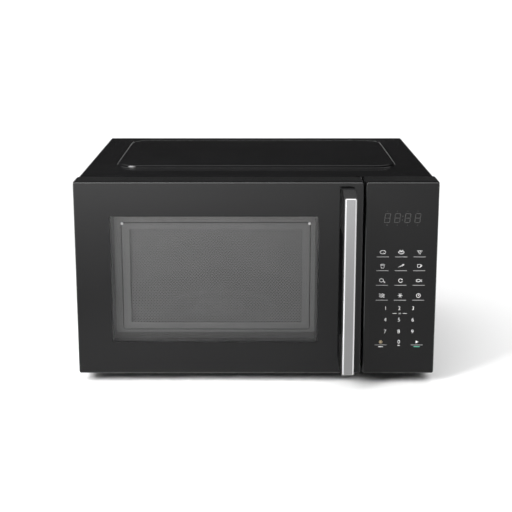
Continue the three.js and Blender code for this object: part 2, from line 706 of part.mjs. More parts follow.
function displayModule() {
  return mesh('display_module', join(
    block(grow(DISPLAY.x, -1), [GLASS + GAP, 13], grow(DISPLAY.z, -1)),
    block(grow(DISPLAY.x, 3), [12.5, 14], grow(DISPLAY.z, 2)),
  ), 'blackPlastic');
}

// The circuit board behind the keys, with its relays, supply transformer and sounder.
function controlBoard() {
  const top = 23.5;
  const board = block([151, 235], [21.9, top], [32, 198]);
  const parts = join(
    block([156, 176], [top - 0.5, 38], [36, 52]),
    block([180, 200], [top - 0.5, 38], [36, 52]),
    block([205, 231], [top - 0.5, 40], [60, 92]),
    rod([164, top - 0.5, 120], [164, 33, 120], 7),
    rod([190, top - 0.5, 150], [190, 38, 150], 5),
    block([178, 206], [top - 0.5, 27], [110, 118]),
  );
  return mesh('control_board', join(board, parts), 'board');
}

// ---- Microwave generator and power supply --------------------------------------------------------

// The duct from the magnetron to the port in the cavity's right wall, open towards the cavity.
function waveguide() {
  const x = [CAVITY.right + SHEET + GAP, 134];
  const depth = [150, 250];
  const z = [146, 224];
  return mesh('waveguide', cut(
    join(block(x, depth, z), block([x[0], x[0] + SHEET], grow(depth, 9), grow(z, 0.01))),
    block([x[0] - 1, x[1] - SHEET], grow(depth, -SHEET), grow(z, -SHEET)),
    rod([x[1] - 3, MAGNETRON.depth, MAGNETRON.z], [x[1] + 1, MAGNETRON.depth, MAGNETRON.z], 12),
  ), 'zinc');
}

function magnetronYoke() {
  const x = [134.3, 192];
  const depth = grow([MAGNETRON.depth, MAGNETRON.depth], 38);
  const z = grow([MAGNETRON.z, MAGNETRON.z], 36);
  const tube = rod([130, MAGNETRON.depth, MAGNETRON.z], [200, MAGNETRON.depth, MAGNETRON.z], 12);
  return mesh('magnetron_yoke', cut(
    block(x, depth, z), block(grow(x, -1.8), grow(depth, 1), grow(z, -1.8)), tube), 'zinc');
}

// The anode with its antenna and its stack of cooling fins.
function magnetronTube() {
  const line = (x0, x1, r, sides = ROUND) => rod(
    [x0, MAGNETRON.depth, MAGNETRON.z], [x1, MAGNETRON.depth, MAGNETRON.z], r, { sides });
  const fins = Array.from({ length: 6 }, (_, i) => block(
    [146 + i * 6, 147 + i * 6], grow([MAGNETRON.depth, MAGNETRON.depth], 34),
    grow([MAGNETRON.z, MAGNETRON.z], 33)));
  return mesh('magnetron_tube', join(
    line(116, 140, 7, 16), line(137, 190, 11), line(142, 181, 18), ...fins), 'silver');
}

function magnetronFilterBox() {
  const box = block([192.3, 214], grow([MAGNETRON.depth, MAGNETRON.depth], 27), grow([MAGNETRON.z, MAGNETRON.z], 24));
  const plug = block([198, 210], [MAGNETRON.depth - 35, MAGNETRON.depth - 26], grow([MAGNETRON.z, MAGNETRON.z], 11));
  return mesh('magnetron_filter_box', join(box, plug), 'zinc');
}

function thermalCutout() {
  const z = MAGNETRON.z + 36 + GAP;
  return mesh('thermal_cutout', join(
    rod([162, MAGNETRON.depth, z], [162, MAGNETRON.depth, z + 5], 8, { sides: 20 }),
    block([150, 174], grow([MAGNETRON.depth, MAGNETRON.depth], 4), [z, z + 1]),
    block([157, 167], grow([MAGNETRON.depth, MAGNETRON.depth], 1), [z + 4, z + 12]),
  ), 'blackPlastic');
}

const TRANSFORMER = { x: [128, 218], depth: [150, 205], z: [14.5, 90] };
const LEG = { x: [160, 186] }; // the core's middle leg, which both coils are wound on

function transformerCore() {
  const window = (x) => block(x, grow(TRANSFORMER.depth, 1), [28, 77]);
  return mesh('transformer_core', cut(
    block(TRANSFORMER.x, TRANSFORMER.depth, TRANSFORMER.z),
    window([143, LEG.x[0]]), window([LEG.x[1], 203])), 'core');
}

function transformerCoil(name, z, look) {
  const winding = upward(roundedRect([143.4, 202.6], grow(TRANSFORMER.depth, 14), 12), ...z);
  return mesh(name, cut(
    winding, block(grow(LEG.x, 0.4), grow(TRANSFORMER.depth, 0.4), grow(z, 1))), look);
}

const CAPACITOR = { x: [172, 226], depth: [232, 266], z: [18, 104] };

function hvCapacitor() {
  const { x, depth, z } = CAPACITOR;
  const can = upward(roundedRect(x, depth, 16.9), ...z, { curveSegments: 6 });
  const tabs = [186, 212].map((tx) => block([tx - 3, tx + 3], [248.6, 249.4], [z[1] - 1, z[1] + 9]));
  return mesh('hv_capacitor', join(can, ...tabs), 'silver');
}

function capacitorClamp() {
  const { x, depth } = CAPACITOR;
  const band = cut(
    upward(roundedRect(grow(x, 1.8), grow(depth, 1.8), 18.5), 48, 66, { curveSegments: 6 }),
    upward(roundedRect(grow(x, GAP), grow(depth, GAP), 17.2), 47, 67, { curveSegments: 6 }),
  );
  const leg = block([x[1] + 0.8, x[1] + 2.3], [240, 258], [14.5, 66]);
  const foot = block([x[1] + 0.8, HALF - 4], [240, 258], [14.5, 16]);
  return mesh('capacitor_clamp', join(band, leg, foot), 'zinc');
}

function hvDiode() {
  return mesh('hv_diode', join(
    rod([150, 240, 20], [150, 258, 20], 4.5, { sides: 16 }),
    rod([150, 225, 20], [150, 271, 20], 0.9, { sides: 8 }),
    block([144, 156], [269, 276], [14.5, 21]),
  ), 'blackPlastic');
}

// The mains filter, with its fuse, choke and capacitor.
function noiseFilterBoard() {
  const z = 232;
  return mesh('noise_filter_board', join(
    block([130, 226], [300, 372], [z, z + 1.6]),
    rod([150, 336, z + 1], [150, 336, z + 18], 13),
    block([175, 200], [312, 324], [z + 1, z + 17]),
    rod([176, 352, z + 6], [206, 352, z + 6], 4, { sides: 16 }),
    block([176, 206], [350, 354], [z + 1, z + 6]),
  ), 'board');
}

// ---- Cooling fan ---------------------------------------------------------------------------------

const fanPoint = (depth) => [FAN.x, depth, FAN.z];

function fanShroud() {
  const ring = FAN.radius + 4;
  const plate = block([114, 236], [333, 335], [92, 212]);
  const duct = rod(fanPoint(314), fanPoint(334), ring + 2, { sides: 32 });
  const hole = rod(fanPoint(310), fanPoint(340), ring, { sides: 32 });
  const feet = [-1, 1].map((side) => block(
    side < 0 ? [114, 120] : [230, 236], [333, 347], [90, 94]));
  return mesh('fan_shroud', cut(join(plate, duct, ...feet), hole), 'blackPlastic');
}

// The motor sits across the duct's mouth on an arm that is fixed to the shroud.
function fanMotor() {
  const core = block([FAN.x - 30, FAN.x + 30], [344, 364], [FAN.z - 24, FAN.z + 24]);
  const coil = block([FAN.x - 16, FAN.x + 16], [339, 369], [FAN.z - 38, FAN.z - 22]);
  const arm = block([118, 232], [335.3, 337.5], [FAN.z - 7, FAN.z + 7]);
  const posts = [-24, 24].map((dx) =>
    rod([FAN.x + dx, 337, FAN.z], [FAN.x + dx, 345, FAN.z], 3, { sides: 12 }));
  const bore = rod(fanPoint(330), fanPoint(362), 2.8, { sides: 12 });
  return mesh('fan_motor', cut(join(core, coil, arm, ...posts), bore), 'core');
}

// Five twisted blades on a hub, with the motor's shaft.
function fanImpeller() {
  const blades = Array.from({ length: 5 }, (_, i) => {
    const blade = new THREE.BoxGeometry(26, 1.6, FAN.radius - 10);
    blade.translate(0, 0, (FAN.radius - 10) / 2 + 9);
    blade.rotateZ(THREE.MathUtils.degToRad(28));
    blade.rotateY((i * 2 * Math.PI) / 5);
    return solid(blade.translate(FAN.x, at(FAN.depth + 5), FAN.z));
  });
  return mesh('fan_impeller', join(
    rod(fanPoint(FAN.depth - 3), fanPoint(FAN.depth + 12), 12),
    rod(fanPoint(FAN.depth), fanPoint(358), 2.4, { sides: 12 }),
    ...blades,
  ), 'whitePlastic');
}

// ---- Assembly ------------------------------------------------------------------------------------

const microwaveOven = group(
  outerCase(),
  basePlate(),
  rearPanel(),
  cordGland(),
  ...Object.entries(FEET).map(([name, place]) => foot(name, place)),
  cavityLiner(),
  cavityFrontPlate(),
  waveguideCover(),
  cavityLamp(),
  turntable(),
  hinges(),
  door(),
  interlockBracket(),
  ...Object.entries(SWITCHES).flatMap(([name, z]) => [
    microswitch(`switch_${name}`, z), plunger(`plunger_${name}`, z)]),
  panelGlass(),
  panelHousing(),
  displayModule(),
  controlBoard(),
  waveguide(),
  magnetronYoke(),
  magnetronTube(),
  magnetronFilterBox(),
  thermalCutout(),
  transformerCore(),
  transformerCoil('primary_coil', [28.5, 49], 'copper'),
  transformerCoil('secondary_coil', [54, 76.5], 'copper'),
  hvCapacitor(),
  capacitorClamp(),
  hvDiode(),
  noiseFilterBoard(),
  fanShroud(),
  fanMotor(),
  fanImpeller(),
);

export default microwaveOven;
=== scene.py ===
# Looks of the countertop microwave oven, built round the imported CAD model.
# Metres, +Z up. The front faces -Y.

import json
import math

import bmesh
import bpy
from mathutils import Matrix, Vector


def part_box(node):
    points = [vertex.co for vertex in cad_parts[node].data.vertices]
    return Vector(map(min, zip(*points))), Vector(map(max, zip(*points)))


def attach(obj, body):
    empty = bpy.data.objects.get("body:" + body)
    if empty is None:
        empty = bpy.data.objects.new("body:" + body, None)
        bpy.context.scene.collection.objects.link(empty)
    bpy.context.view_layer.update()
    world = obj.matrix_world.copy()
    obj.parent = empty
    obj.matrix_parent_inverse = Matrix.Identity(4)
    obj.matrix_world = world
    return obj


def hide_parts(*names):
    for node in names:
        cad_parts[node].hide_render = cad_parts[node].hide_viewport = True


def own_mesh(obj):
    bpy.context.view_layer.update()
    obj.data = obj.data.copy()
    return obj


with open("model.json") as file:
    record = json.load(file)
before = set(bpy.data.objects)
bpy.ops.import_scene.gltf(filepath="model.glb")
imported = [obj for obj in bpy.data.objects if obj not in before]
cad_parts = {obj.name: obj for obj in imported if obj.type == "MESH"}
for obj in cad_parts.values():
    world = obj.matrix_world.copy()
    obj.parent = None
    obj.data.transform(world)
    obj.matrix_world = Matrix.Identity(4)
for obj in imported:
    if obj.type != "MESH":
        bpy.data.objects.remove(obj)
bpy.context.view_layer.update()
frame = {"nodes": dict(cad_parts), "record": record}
nodes = frame["nodes"]
MM = 0.001

# ---- Places taken from the frame -----------------------------------------------------------------

DOOR_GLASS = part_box("door_glass")
PANEL_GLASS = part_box("panel_glass")
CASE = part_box("outer_case")
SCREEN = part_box("mesh_screen")
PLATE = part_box("door_plate")
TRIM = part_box("handle_trim")
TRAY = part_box("glass_tray")
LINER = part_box("cavity_liner")

FRONT_Y = DOOR_GLASS[0].y
WINDOW = (-0.194, 0.083, 0.0585, 0.2325)  # left, right, bottom and top of the clear part of the door


# ---- Mesh helpers --------------------------------------------------------------------------------

def mesh_object(name, build, smooth_angle=32):
    """A new mesh object from a function that fills a bmesh. Edges sharper than the angle stay crisp."""
    data = bpy.data.meshes.new(name)
    bm = bmesh.new()
    build(bm)
    bmesh.ops.recalc_face_normals(bm, faces=bm.faces)
    bm.to_mesh(data)
    bm.free()
    obj = bpy.data.objects.new(name, data)
    bpy.context.scene.collection.objects.link(obj)
    finish_normals(obj, smooth_angle)
    return obj


def finish_normals(obj, smooth_angle):
    """Smooth shading that leaves large flat faces flat, with edges over the angle kept crisp."""
    obj.data.shade_smooth()
    obj.data.set_sharp_from_angle(angle=math.radians(smooth_angle))
    weighting = obj.modifiers.new("weighting", "WEIGHTED_NORMAL")
    weighting.keep_sharp = True
    weighting.weight = 100
    apply_modifiers(obj)


def apply_modifiers(obj):
    """Turns what the modifiers make into the object's own mesh."""
    bpy.context.view_layer.update()
    graph = bpy.context.evaluated_depsgraph_get()
    made = bpy.data.meshes.new_from_object(obj.evaluated_get(graph))
    made.name = obj.name
    old = obj.data
    obj.modifiers.clear()
    obj.data = made
    bpy.data.meshes.remove(old)


def rounded_outline(a0, a1, b0, b1, radius, corner_steps=8):
    """Points of a rounded rectangle in a plane, as (a, b), anticlockwise."""
    radius = max(radius, 1e-5)
    centres = ((a1 - radius, b0 + radius, -90), (a1 - radius, b1 - radius, 0),
               (a0 + radius, b1 - radius, 90), (a0 + radius, b0 + radius, 180))
    points = []
    for a, b, start in centres:
        for step in range(corner_steps + 1):
            angle = math.radians(start + 90 * step / corner_steps)
            points.append((a + radius * math.cos(angle), b + radius * math.sin(angle)))
    return points


def loft(bm, rings, caps=True, loop=False):
    """Joins rings with the same number of points by quads, and closes the ends."""
    made = [[bm.verts.new(p) for p in ring] for ring in rings]
    pairs = list(zip(made, made[1:]))
    if loop:
        pairs.append((made[-1], made[0]))
    for one, other in pairs:
        count = len(one)
        for i in range(count):
            j = (i + 1) % count
            bm.faces.new((one[i], one[j], other[j], other[i]))
    if caps and not loop:
        bm.faces.new(made[0])
        bm.faces.new(made[-1])
    return made


def facing_ring(rect, inset, y, radius):
    """A rounded rectangle facing the front, at depth y. rect is (left, right, bottom, top)."""
    left, right, bottom, top = rect
    outline = rounded_outline(left + inset, right - inset, bottom + inset, top - inset, radius - inset)
    return [(x, y, z) for x, z in outline]


def strip(bm, points, width, y, thickness=0.00004, closed=False):
    """A line of the given width drawn through (x, z) points at depth y."""
    count = len(points)
    left, right = [], []
    for i, (x, z) in enumerate(points):
        before = points[i - 1] if closed or i else points[i]
        after = points[(i + 1) % count] if closed or i < count - 1 else points[i]
        along = Vector((after[0] - before[0], after[1] - before[1]))
        if along.length < 1e-9:
            along = Vector((1, 0))
        along.normalize()
        side = Vector((-along.y, along.x)) * width / 2
        left.append((x + side.x, z + side.y))
        right.append((x - side.x, z - side.y))
    spans = count if closed else count - 1
    for i in range(spans):
        j = (i + 1) % count
        solid_patch(bm, (left[i], left[j], right[j], right[i]), y, thickness)


def solid_patch(bm, outline, y, thickness):
    """A thin raised patch with this outline of (x, z) points, standing thickness proud of depth y."""
    loft(bm, [[(x, y, z) for x, z in outline], [(x, y - thickness, z) for x, z in outline]])


def circle_points(x, z, radius, count):
    """Points evenly round a circle, as (x, z)."""
    return ellipse(x, z, radius, radius, count)


def ellipse(x, z, a, b, count=22, start=0, sweep=360):
    """Points along an ellipse with half-axes a and b, or along an arc of it, from start in degrees."""
    steps = count if sweep == 360 else count - 1
    angles = [math.radians(start + sweep * i / steps) for i in range(count)]
    return [(x + a * math.cos(t), z + b * math.sin(t)) for t in angles]


# ---- Materials -----------------------------------------------------------------------------------

def new_material(name):
    """A material with one shader joined to its output."""
    material = bpy.data.materials.new(name)
    material.use_nodes = True
    tree = material.node_tree
    tree.nodes.clear()
    output = tree.nodes.new("ShaderNodeOutputMaterial")
    shader = tree.nodes.new("ShaderNodeBsdfPrincipled")
    tree.links.new(shader.outputs["BSDF"], output.inputs["Surface"])
    return material, tree, shader, output


def noise(tree, scale, detail=3, stretch=(1, 1, 1)):
    """Noise in object coordinates. stretch scales its axes, so a small number gives long streaks."""
    coords = tree.nodes.new("ShaderNodeTexCoord")
    mapping = tree.nodes.new("ShaderNodeMapping")
    mapping.inputs["Scale"].default_value = stretch
    texture = tree.nodes.new("ShaderNodeTexNoise")
    texture.inputs["Scale"].default_value = scale
    texture.inputs["Detail"].default_value = detail
    tree.links.new(coords.outputs["Object"], mapping.inputs["Vector"])
    tree.links.new(mapping.outputs["Vector"], texture.inputs["Vector"])
    return texture.outputs["Fac"]


def ramp(tree, value, low, high, start=0.3, end=0.7):
    """Maps a value to between two colours or numbers."""
    def as_colour(c):
        return (*c, 1) if isinstance(c, tuple) else (c, c, c, 1)

    node = tree.nodes.new("ShaderNodeValToRGB")
    node.color_ramp.elements[0].position = start
    node.color_ramp.elements[1].position = end
    node.color_ramp.elements[0].color = as_colour(low)
    node.color_ramp.elements[1].color = as_colour(high)
    tree.links.new(value, node.inputs["Fac"])
    return node.outputs["Color"]


def bump(tree, shader, height, distance):
    """Raises the shader's surface by the height value, up to the distance in metres."""
    node = tree.nodes.new("ShaderNodeBump")
    node.inputs["Strength"].default_value = 1.0
    node.inputs["Distance"].default_value = distance
    tree.links.new(height, node.inputs["Height"])
    tree.links.new(node.outputs["Normal"], shader.inputs["Normal"])


def finish_material(name, dark, light, rough, metallic=0.0, scale=400, bump_mm=0.01,
                    stretch=(1, 1, 1), specular=0.5, coat=0.0, ior=1.5):
    """An opaque finish: colour and roughness vary a little over the surface, and its grain is raised."""
    material, tree, shader, _ = new_material(name)
    shader.inputs["Metallic"].default_value = metallic
    shader.inputs["Specular IOR Level"].default_value = specular
    shader.inputs["Coat Weight"].default_value = coat
    shader.inputs["IOR"].default_value = ior
    grain = noise(tree, scale, 3, stretch)
    drift = noise(tree, scale / 40, 2, stretch)
    tree.links.new(ramp(tree, drift, dark, light), shader.inputs["Base Color"])
    tree.links.new(ramp(tree, grain, rough[0], rough[1]), shader.inputs["Roughness"])
    if bump_mm:
        bump(tree, shader, grain, bump_mm * MM)
    return material


def see_through(name, tint, share, roughness=0.03, ior=1.5, body=(0.01, 0.01, 0.01), specular=0.5):
    """A clear sheet: this share of what meets a face is stopped or mirrored, and the rest passes."""
    material, tree, shader, output = new_material(name)
    shader.inputs["Base Color"].default_value = (*body, 1)
    shader.inputs["Roughness"].default_value = roughness
    shader.inputs["IOR"].default_value = ior
    shader.inputs["Specular IOR Level"].default_value = specular
    clear = tree.nodes.new("ShaderNodeBsdfTransparent")
    clear.inputs["Color"].default_value = (*tint, 1)
    mix = tree.nodes.new("ShaderNodeMixShader")
    mix.inputs["Fac"].default_value = share
    tree.links.new(clear.outputs["BSDF"], mix.inputs[1])
    tree.links.new(shader.outputs["BSDF"], mix.inputs[2])
    tree.links.new(mix.outputs["Shader"], output.inputs["Surface"])
    return material


def speckled(name, base, fleck, rough):
    """Oven enamel with fine flecks."""
    material, tree, shader, _ = new_material(name)
    flecks = noise(tree, 1600, 1)
    tree.links.new(ramp(tree, flecks, base, fleck, 0.6, 0.68), shader.inputs["Base Color"])
    shader.inputs["Roughness"].default_value = rough
    bump(tree, shader, noise(tree, 220, 2), 0.02 * MM)
    return material


MATERIALS = {
    "case_enamel": finish_material(
        "case_enamel", (0.004, 0.004, 0.0042), (0.006, 0.006, 0.0063), (0.09, 0.13), scale=900,
        bump_mm=0.001, specular=0.22),
    "door_glass": see_through("door_glass", (0.93, 0.93, 0.93), 0.13, ior=2.2),
    "panel_glass": finish_material(
        "panel_glass", (0.003, 0.003, 0.0032), (0.004, 0.004, 0.0042), (0.02, 0.03), scale=200,
        bump_mm=0, specular=0.2),
    "black_plastic": finish_material(
        "black_plastic", (0.004, 0.004, 0.0042), (0.006, 0.006, 0.0063), (0.26, 0.36), scale=1500,
        bump_mm=0.006, specular=0.15),
    "handle_plastic": finish_material(
        "handle_plastic", (0.008, 0.008, 0.0082), (0.011, 0.011, 0.0113), (0.26, 0.34), scale=1500,
        bump_mm=0.005, specular=0.35),
    "handle_trim": finish_material(
        "handle_trim", (0.2, 0.2, 0.202), (0.23, 0.23, 0.232), (0.12, 0.17), metallic=1.0, scale=900,
        bump_mm=0.002, stretch=(1, 1, 0.03)),
    "cavity_enamel": speckled("cavity_enamel", (0.13, 0.13, 0.128), (0.2, 0.2, 0.197), 0.4),
    "zinc_steel": finish_material(
        "zinc_steel", (0.42, 0.43, 0.44), (0.56, 0.57, 0.58), (0.34, 0.52), metallic=0.9, scale=300,
        bump_mm=0.006),
    "door_steel": finish_material(
        "door_steel", (0.16, 0.16, 0.16), (0.19, 0.19, 0.19), (0.4, 0.5), scale=700, bump_mm=0.004),
    "screen_steel": finish_material(
        "screen_steel", (0.102, 0.102, 0.102), (0.112, 0.112, 0.112), (0.46, 0.5), metallic=0.4, scale=700,
        bump_mm=0),
    "clear_film": see_through("clear_film", (0.83, 0.84, 0.84), 0.12, roughness=0.08),
    "clear_glass": see_through("clear_glass", (0.9, 0.95, 0.93), 0.2, body=(0.5, 0.55, 0.53)),
    "white_plastic": finish_material(
        "white_plastic", (0.66, 0.65, 0.61), (0.72, 0.71, 0.68), (0.4, 0.52), scale=900, bump_mm=0.01),
    "mica": finish_material(
        "mica", (0.3, 0.27, 0.2), (0.46, 0.42, 0.33), (0.35, 0.6), scale=250, bump_mm=0.02),
    "magnetron_metal": finish_material(
        "magnetron_metal", (0.6, 0.6, 0.61), (0.7, 0.7, 0.71), (0.28, 0.42), metallic=1.0, scale=500),
    "core_steel": finish_material(
        "core_steel", (0.075, 0.07, 0.065), (0.12, 0.11, 0.1), (0.35, 0.55), metallic=0.7, scale=1400,
        bump_mm=0.03, stretch=(0.05, 1, 0.05)),
    "winding": finish_material(
        "winding", (0.3, 0.1, 0.035), (0.44, 0.16, 0.06), (0.3, 0.45), metallic=0.85, scale=900,
        bump_mm=0.06, stretch=(0.05, 0.05, 1)),
    "capacitor_can": finish_material(
        "capacitor_can", (0.55, 0.55, 0.56), (0.64, 0.64, 0.65), (0.25, 0.38), metallic=1.0, scale=500),
    "circuit_board": finish_material(
        "circuit_board", (0.02, 0.075, 0.03), (0.03, 0.11, 0.045), (0.3, 0.45), scale=500, bump_mm=0.02),
    "foot_rubber": finish_material(
        "foot_rubber", (0.01, 0.01, 0.01), (0.018, 0.018, 0.018), (0.7, 0.85), scale=1200, bump_mm=0.03),
}

GLASS_EDGE = finish_material(
    "glass_edge", (0.02, 0.021, 0.021), (0.03, 0.031, 0.031), (0.15, 0.22), scale=700, bump_mm=0.002,
    specular=0.6)
POLISHED_EDGE = finish_material(
    "polished_edge", (0.6, 0.6, 0.605), (0.66, 0.66, 0.665), (0.14, 0.2), metallic=1.0, scale=900,
    bump_mm=0.001, stretch=(1, 1, 0.03))


def dress_nodes():
    """Every CAD node gets the material of its slot in the record."""
    for entry in frame["record"]["subparts"]:
        node = nodes[entry["node"]]
        node.data.materials.clear()
        node.data.materials.append(MATERIALS[entry["material_slot"]])
        node.data.shade_smooth()
        node.data.set_sharp_from_angle(angle=math.radians(28))


def piece(obj, body, slot, material=None, replaces=()):
    """Gives a new piece its material, parents it to its body's empty and hides the CAD nodes it replaces.
    """
    obj.data.materials.append(material or MATERIALS[slot])
    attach(obj, body)
    if replaces:
        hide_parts(*replaces)
    return obj


# ---- Door ----------------------------------------------------------------------------------------

def rect_of(box):
    """The (left, right, bottom, top) of a box, as seen from the front."""
    return (box[0].x, box[1].x, box[0].z, box[1].z)


def glass_slab(name, box, clear=None, corner=0.003, edge=0.0009):
    """A glass panel with ground edges, which are its second material. The third fills its clear part."""
    outer = rect_of(box)

    def build(bm):
        y_front, y_back = box[0].y, box[1].y
        rings = [facing_ring(outer, 0, y_back, corner)]
        # The front edge's chamfer, as shares of its width: how far in and how far back.
        rings += [facing_ring(outer, inset * edge, y_front + depth * edge, corner)
                  for inset, depth in ((0, 1.1), (0.08, 0.92), (0.92, 0.08), (1.1, 0))]
        if clear:
            rings.insert(0, facing_ring(clear, 0, y_back, 0.002))
            rings.append(facing_ring(clear, 0, y_front, 0.002))
        made = loft(bm, rings, caps=False)
        for ring in (made[0], made[-1]):
            bm.faces.new(ring).material_index = 2 if clear else 0
        bm.normal_update()
        for face in bm.faces:
            if 0.2 < abs(face.normal.y) < 0.95:
                face.material_index = 1
    return mesh_object(name, build, smooth_angle=30)


def door_pane():
    """The door's glass, printed black round its clear window."""
    obj = glass_slab("door_pane", DOOR_GLASS, WINDOW)
    piece(obj, "door", "door_glass", MATERIALS["panel_glass"], replaces=("door_glass",))
    obj.data.materials.append(GLASS_EDGE)
    obj.data.materials.append(MATERIALS["door_glass"])


def screen():
    """The perforated sheet: staggered rows of round holes, cut as cells that share their edges."""
    pitch_x, pitch_z = 0.0041, 0.0046
    radius = 0.0009
    (x0, y0, z0), (x1, y1, z1) = SCREEN
    columns = int((x1 - x0) / pitch_x)
    rows = int((z1 - z0) / pitch_z)
    left = (x0 + x1 - columns * pitch_x) / 2
    bottom = (z0 + z1 - rows * pitch_z) / 2
    # A cell is a diamond round its hole, so that the staggered rows fit together.
    directions = [math.radians(45 * i) for i in range(8)]
    half_x, half_z = pitch_x / 2, pitch_z / 2
    edge = []
    for angle in directions:
        c, s = math.cos(angle), math.sin(angle)
        reach = 1 / (abs(c) / half_x + abs(s) / half_z)
        edge.append((reach * c, reach * s))

    def build(bm):
        for row in range(2 * rows - 1):
            shift = half_x if row % 2 else 0
            count = columns - 1 if row % 2 else columns
            for column in range(count):
                x = left + half_x + shift + column * pitch_x
                z = bottom + half_z + row * half_z
                rim = [(x + a, z + b) for a, b in edge]
                hole = [(x + radius * math.cos(a), z + radius * math.sin(a)) for a in directions]
                rings = ((rim, y0), (hole, y0), (hole, y1), (rim, y1))
                loft(bm, [[(px, y, pz) for px, pz in ring] for ring, y in rings], caps=False)
        bmesh.ops.remove_doubles(bm, verts=bm.verts, dist=2e-5)
    piece(mesh_object("screen_sheet", build), "door", "screen_steel", replaces=("mesh_screen",))


def window_surround():
    """The steel round the screen, seen through the glass: a groove, two studs and a ledge. The groove's
    sunken faces are painted black as painted shade, the studs near white as painted highlights, and the
    ledge dark as painted shade.
    """
    y_back = PLATE[0].y - 0.0002
    y_front = y_back - 0.0018
    outer = (-0.1897, 0.0795, 0.0671, 0.2345)
    groove = (-0.1807, 0.0725, 0.0711, 0.2202)
    inner = (-0.1695, 0.0615, 0.0812, 0.2112)
    half = 0.0008
    rings = (
        (outer, 0, y_back, 0.002), (outer, 0, y_front + 0.0003, 0.002), (outer, 0.0003, y_front, 0.002),
        (groove, -half, y_front, 0.0045), (groove, -half, y_back - 0.0004, 0.0045),
        (groove, half, y_back - 0.0004, 0.0035), (groove, half, y_front, 0.0035),
        (inner, -0.0006, y_front, 0.002), (inner, 0, y_front + 0.0006, 0.002), (inner, 0, y_back, 0.002))

    def build(bm):
        loft(bm, [facing_ring(*ring) for ring in rings], loop=True)
        # The groove's sunken faces take the black plastic: painted shade in the groove.
        for face in bm.faces:
            if all(y_front + 0.0002 < vert.co.y for vert in face.verts):
                face.material_index = 1
    obj = mesh_object("window_surround", build)
    piece(obj, "door", "screen_steel")
    obj.data.materials.append(MATERIALS["black_plastic"])

    def studs(bm):
        for x in (groove[0] + 0.0012, groove[1] - 0.0012):
            z = groove[3] - 0.0012
            rings = []
            for step in range(5):
                angle = math.radians(90 * step / 5)
                y = y_front - 0.0012 * math.sin(angle)
                rings.append([(px, y, pz) for px, pz in circle_points(x, z, 0.0018 * math.cos(angle), 16)])
            loft(bm, rings)
    # The studs are painted near white so that they show as light dots: painted highlights.
    stud_highlight = plain_material("stud_painted_highlight", (0.9, 0.9, 0.9), 0.2)
    piece(mesh_object("surround_studs", studs), "door", "handle_trim", stud_highlight)

    ledge = (-0.1990, 0.0890, 0.0560, 0.2420)
    # The ledge is painted darker than the steel round the screen: painted shade round the window.
    shade = finish_material(
        "ledge_painted_shade", (0.02, 0.02, 0.02), (0.025, 0.025, 0.025), (0.5, 0.6), scale=700, bump_mm=0)
    around = ((ledge, 0, y_back), (ledge, 0, y_back - 0.0012), (outer, -0.0004, y_back - 0.0012),
              (outer, -0.0004, y_back))

    def flange(bm):
        loft(bm, [facing_ring(*ring, 0.002) for ring in around], loop=True)
    piece(mesh_object("window_ledge", flange), "door", "black_plastic", shade)


def spring_coil():
    """The latch's spring, as a coil of wire in the CAD spring's place."""
    (x0, y0, z0), (x1, y1, z1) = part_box("latch_spring")
    cx, cy = (x0 + x1) / 2, (y0 + y1) / 2
    wire = 0.00045
    radius = (y1 - y0) / 2 - wire
    turns, steps, sides = 6, 20, 10

    def build(bm):
        rings = []
        for i in range(turns * steps + 1):
            share = i / (turns * steps)
            angle = 2 * math.pi * turns * share
            out = Vector((math.cos(angle), math.sin(angle), 0))
            centre = Vector((cx, cy, z0 + wire + share * (z1 - z0 - 2 * wire))) + out * radius
            section = circle_points(0, 0, wire, sides)
            rings.append([centre + out * a + Vector((0, 0, b)) for a, b in section])
        loft(bm, rings)
    obj = piece(mesh_object("spring_coil", build), "door", "zinc_steel", replaces=("latch_spring",))
    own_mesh(obj)


def softened(node, name, body, slot, width, segments=3):
    """A copy of a CAD node with its sharp edges rounded, which stands for it."""
    data = nodes[node].data.copy()
    data.name = name
    bm = bmesh.new()
    bm.from_mesh(data)
    bmesh.ops.remove_doubles(bm, verts=bm.verts, dist=1e-6)
    bmesh.ops.dissolve_limit(
        bm, angle_limit=math.radians(0.8), verts=bm.verts, edges=bm.edges, delimit=set())
    bm.to_mesh(data)
    bm.free()
    data.materials.clear()
    obj = bpy.data.objects.new(name, data)
    bpy.context.scene.collection.objects.link(obj)
    rounding = obj.modifiers.new("rounding", "BEVEL")
    rounding.width = width
    rounding.segments = segments
    rounding.limit_method = "ANGLE"
    rounding.angle_limit = math.radians(35)
    rounding.use_clamp_overlap = True
    apply_modifiers(obj)
    finish_normals(obj, 40)
    return piece(obj, body, slot, replaces=(node,))


def handle_bar():
    """The silver bar: a brushed front face, with polished chamfers down its sides and at its top."""
    (x0, y0, z0), (x1, y1, z1) = TRIM
    wide, deep = 0.0016, 0.0012  # the chamfers
    blunt = 0.12  # how far their corners are rounded, as a share of them

    def section(z, inset):
        left, right, front, back = x0, x1, y0 + inset, y1
        half = [(left, back), (left, front + deep * (1 + blunt)),
                (left + wide * blunt, front + deep * (1 - blunt)),
                (left + wide * (1 - blunt), front + deep * blunt), (left + wide * (1 + blunt), front)]
        return [(x, y, z) for x, y in half + [(left + right - x, y) for x, y in reversed(half)]]

    def build(bm):
        end = 0.0007
        ends = ((z0, end), (z0 + end, 0), (z1 - end * 1.6, 0), (z1, end * 1.3))
        loft(bm, [section(z, inset) for z, inset in ends])
        bm.normal_update()
        for face in bm.faces:
            if 0.2 < abs(face.normal.y) < 0.98 and face.normal.z > -0.5:
                face.material_index = 1
    obj = mesh_object("handle_bar", build, smooth_angle=25)
    piece(obj, "door", "handle_trim", replaces=("handle_trim",))
    obj.data.materials.append(POLISHED_EDGE)


# ---- Control panel -------------------------------------------------------------------------------

LEGEND_Y = PANEL_GLASS[0].y - 0.00001
COLUMNS = (0.1681, 0.1926, 0.2170)
ICON_ROWS = (0.1843, 0.1653, 0.1451, 0.1243)
DIGIT_COLUMNS = (0.1736, 0.1920, 0.2105)
DIGIT_ROWS = (0.1063, 0.0902, 0.0736)
LAST_ROW = 0.0585


